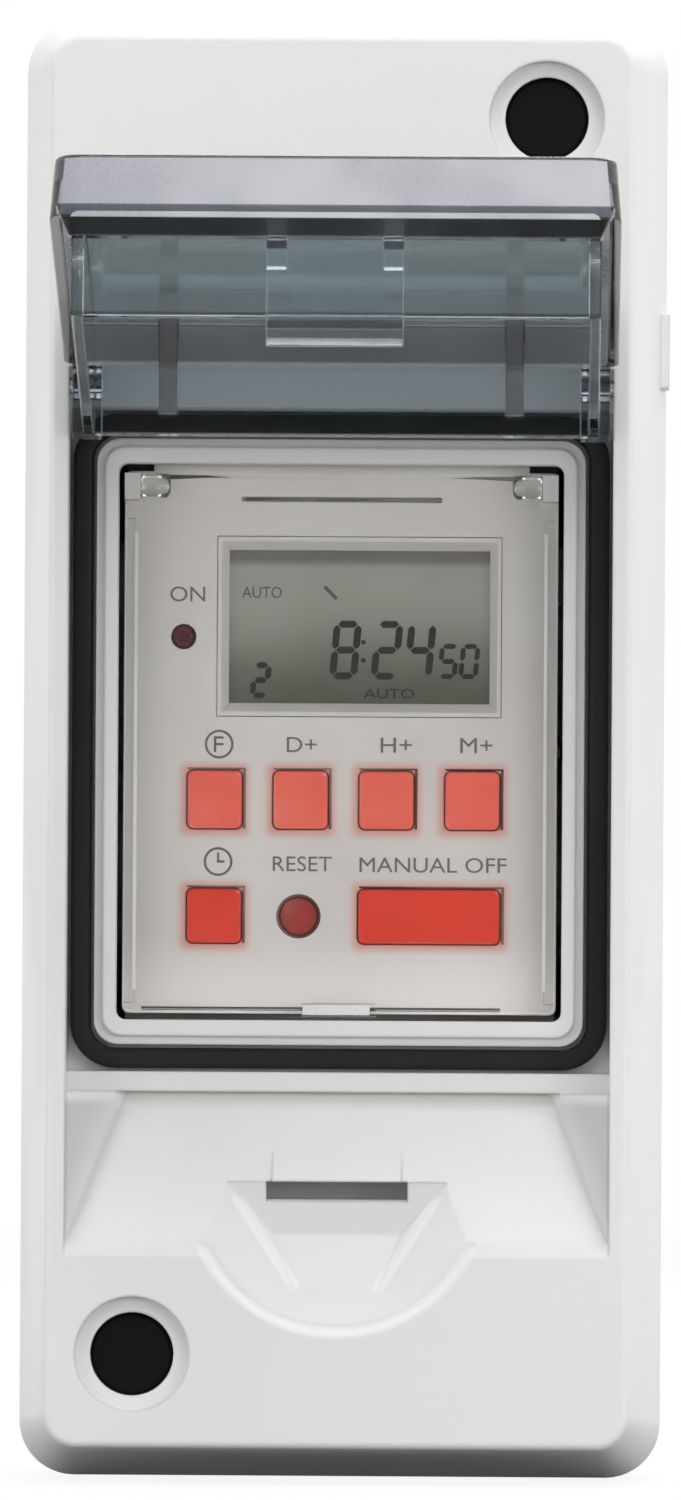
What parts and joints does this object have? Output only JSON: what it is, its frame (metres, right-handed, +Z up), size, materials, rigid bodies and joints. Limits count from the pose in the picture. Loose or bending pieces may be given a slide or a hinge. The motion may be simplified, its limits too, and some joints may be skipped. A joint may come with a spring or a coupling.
{
  "type": "pool pump timer",
  "caption": "Slim weatherproof wall enclosure with a smoked lid hinged at the top, holding a digital rail-mounted timer with display, keys and clear flap.",
  "frame": {"origin": "centre of the base's flat back face, which lies on the wall", "axes": "+Z up along the long side of the enclosure, -Y out of the wall to the front, +X to the right as seen from the front"},
  "size_m": [0.0542, 0.1384, 0.1228],
  "materials": {
    "housing_grey": "fine satin moulded ABS",
    "smoked_plastic": "polished smoked polycarbonate",
    "clear_plastic": "polished clear polycarbonate",
    "black_rubber": "soft matt rubber",
    "black_plastic": "satin moulded",
    "timer_grey": "satin moulded",
    "key_red": "satin moulded",
    "lamp_red": "clear tinted",
    "display_glass": "polished over grey-green liquid crystal",
    "circuit_board": "solder mask",
    "zinc_steel": "zinc plated",
    "brass": "machined",
    "component_dark": "moulded",
    "component_blue": "dipped or sleeved"
  },
  "bodies": {
    "housing": {"base_box": "housing_grey", "front_cover": "housing_grey", "lid_hinge_pins": "zinc_steel", "window_gasket": "black_rubber", "cover_seal": "black_rubber", "cover_screws": "zinc_steel", "cover_screw_inserts": "brass", "screw_caps": "black_plastic", "din_rail": "zinc_steel", "rail_screws": "zinc_steel", "terminal_bars": "brass", "terminal_bar_screws": "zinc_steel", "timer_case": "timer_grey", "timer_front": "timer_grey", "key_switches": "component_dark", "display_bezel": "timer_grey", "display_glass": "display_glass", "display_connector_strips": "black_rubber", "indicator_lamp": "lamp_red", "display_board": "circuit_board", "power_board": "circuit_board", "board_pins": "brass", "relay": "component_dark", "capacitors": "component_blue", "suppressor": "component_blue", "backup_battery": "zinc_steel", "terminal_clamps": "brass", "terminal_screws": "zinc_steel"},
    "lid": {"smoked_lid": "smoked_plastic"},
    "flap": {"timer_flap": "clear_plastic"},
    "din_clip": {"din_clip": "black_plastic"},
    "key_program": {"key_program": "key_red"},
    "key_day": {"key_day": "key_red"},
    "key_hour": {"key_hour": "key_red"},
    "key_minute": {"key_minute": "key_red"},
    "key_clock": {"key_clock": "key_red"},
    "key_manual": {"key_manual": "key_red"},
    "key_reset": {"key_reset": "key_red"}
  },
  "joints": [
    {"name": "lid_hinge", "type": "hinge", "parent": "housing", "child": "lid", "pos_m": [0, -0.0708, 0.0293], "axis": [-1, 0, 0], "range_deg": [-98.8, 0]},
    {"name": "flap_hinge", "type": "hinge", "parent": "housing", "child": "flap", "pos_m": [0, -0.06335, 0.0212], "axis": [-1, 0, 0], "range_deg": [0, 95]},
    {"name": "program_press", "type": "slide", "parent": "housing", "child": "key_program", "axis": [0, 1, 0], "range_m": [0, 0.0006], "stiffness_N_per_m": 2000, "springref_m": -0.0002},
    {"name": "day_press", "type": "slide", "parent": "housing", "child": "key_day", "axis": [0, 1, 0], "range_m": [0, 0.0006], "stiffness_N_per_m": 2000, "springref_m": -0.0002},
    {"name": "hour_press", "type": "slide", "parent": "housing", "child": "key_hour", "axis": [0, 1, 0], "range_m": [0, 0.0006], "stiffness_N_per_m": 2000, "springref_m": -0.0002},
    {"name": "minute_press", "type": "slide", "parent": "housing", "child": "key_minute", "axis": [0, 1, 0], "range_m": [0, 0.0006], "stiffness_N_per_m": 2000, "springref_m": -0.0002},
    {"name": "clock_press", "type": "slide", "parent": "housing", "child": "key_clock", "axis": [0, 1, 0], "range_m": [0, 0.0006], "stiffness_N_per_m": 2000, "springref_m": -0.0002},
    {"name": "manual_press", "type": "slide", "parent": "housing", "child": "key_manual", "axis": [0, 1, 0], "range_m": [0, 0.0006], "stiffness_N_per_m": 2000, "springref_m": -0.0002},
    {"name": "reset_press", "type": "slide", "parent": "housing", "child": "key_reset", "axis": [0, 1, 0], "range_m": [0, 0.0006], "stiffness_N_per_m": 2000, "springref_m": -0.0002},
    {"name": "din_clip_slide", "type": "slide", "parent": "housing", "child": "din_clip", "axis": [0, 0, -1], "range_m": [0, 0.003], "stiffness_N_per_m": 2500, "springref_m": -0.0005}
  ]
}
